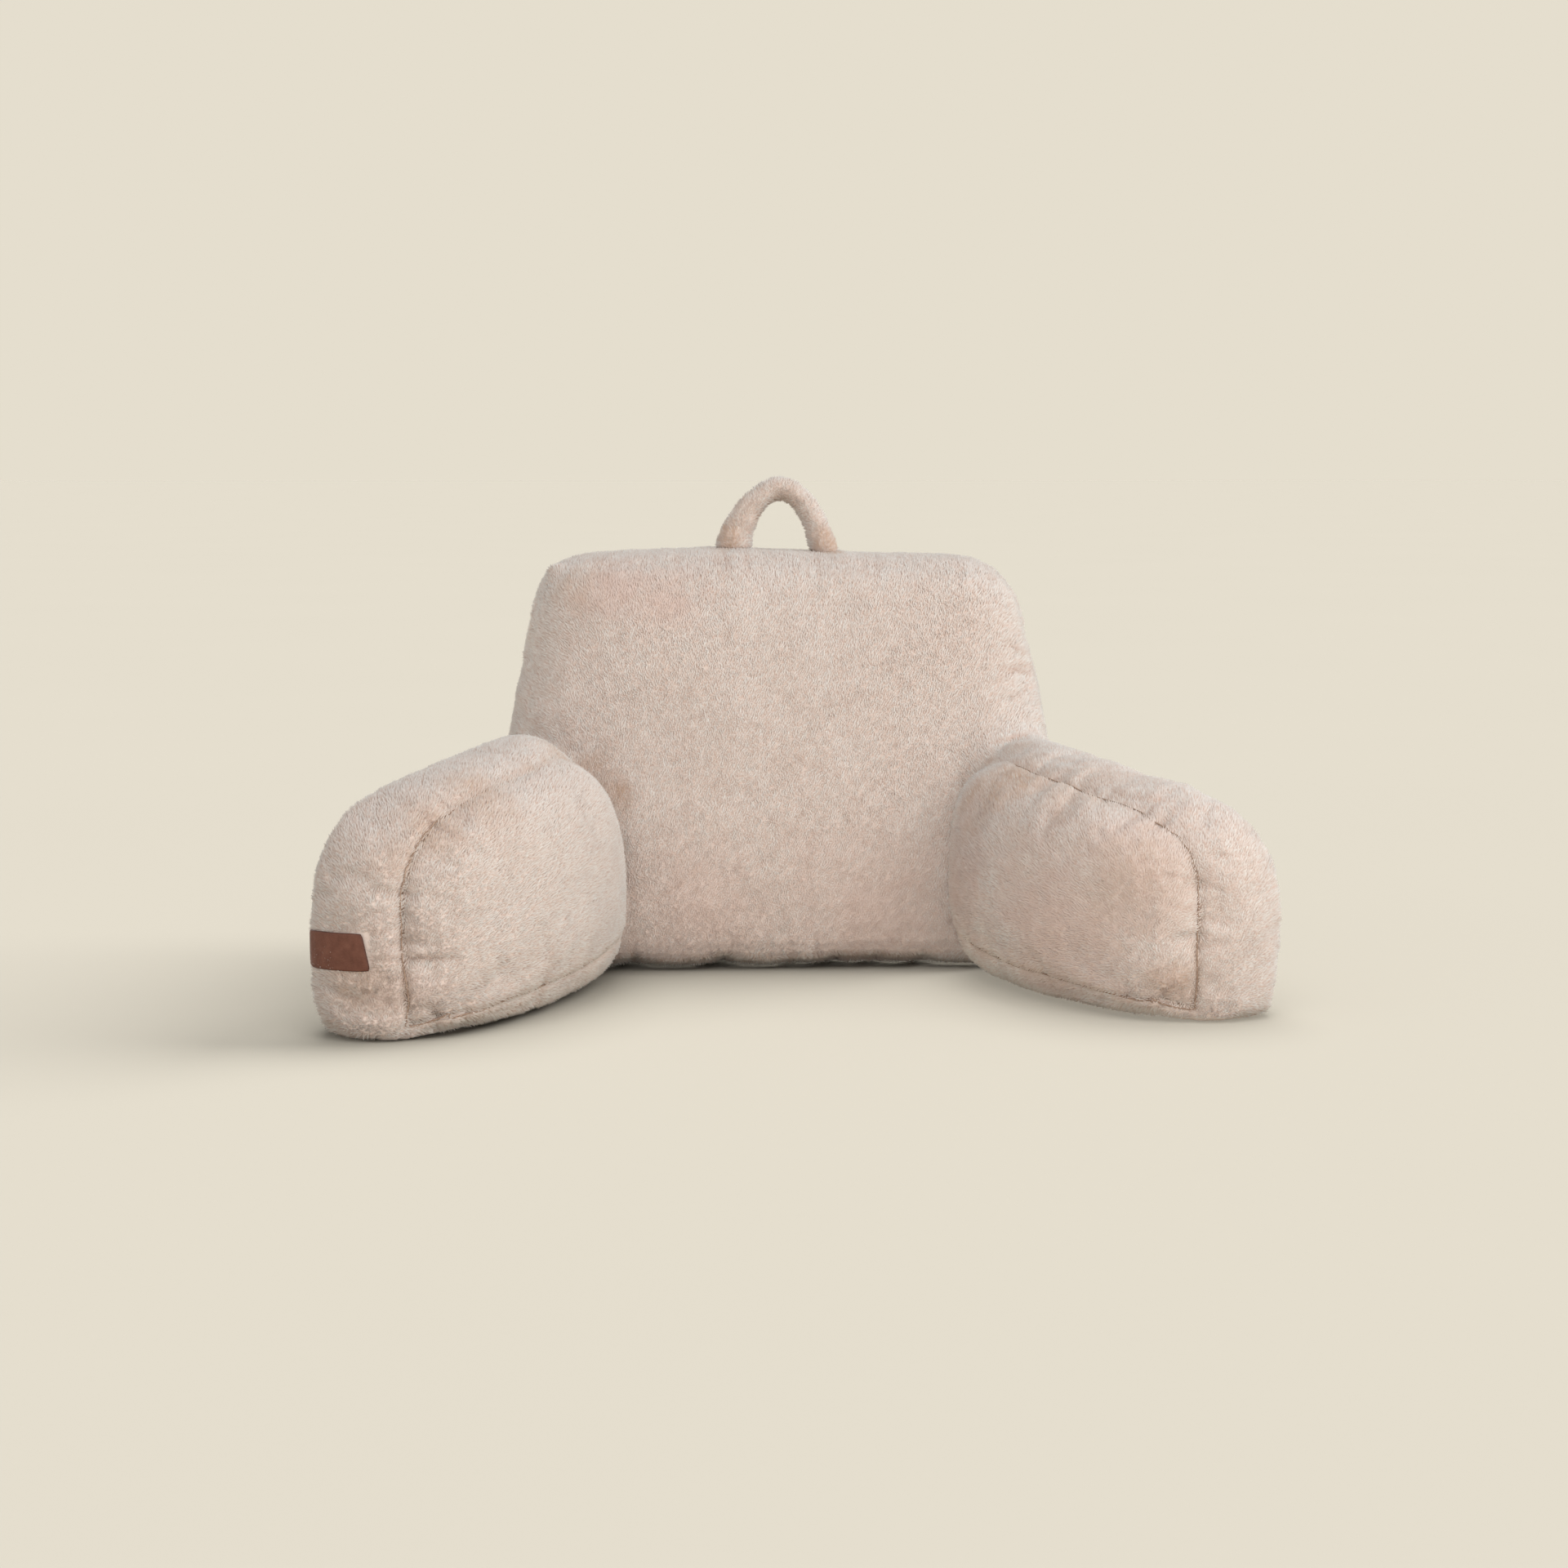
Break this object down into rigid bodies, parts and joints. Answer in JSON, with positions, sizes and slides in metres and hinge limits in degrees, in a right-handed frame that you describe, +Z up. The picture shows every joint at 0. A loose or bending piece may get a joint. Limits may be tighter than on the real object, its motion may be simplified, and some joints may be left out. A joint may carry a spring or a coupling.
{
  "type": "backrest pillow",
  "caption": "Plush backrest pillow with a filled back, filled arms that splay forward, a stuffed carrying loop on top and a small leather patch on one arm.",
  "frame": {"origin": "on the floor under the middle of the pillow's overall box", "axes": "+X across the pillow to the right as seen from the front, +Y from the front of the arms to the rear of the back, +Z up; the pillow faces -Y"},
  "size_m": [0.8728, 0.558, 0.4855],
  "materials": {
    "plush": "short brushed pile, matte",
    "leather": "fine grain, low sheen"
  },
  "bodies": {
    "root": {"back_cushion": "plush", "arm_left": "plush", "arm_right": "plush", "handle": "plush", "label": "leather"}
  },
  "joints": []
}
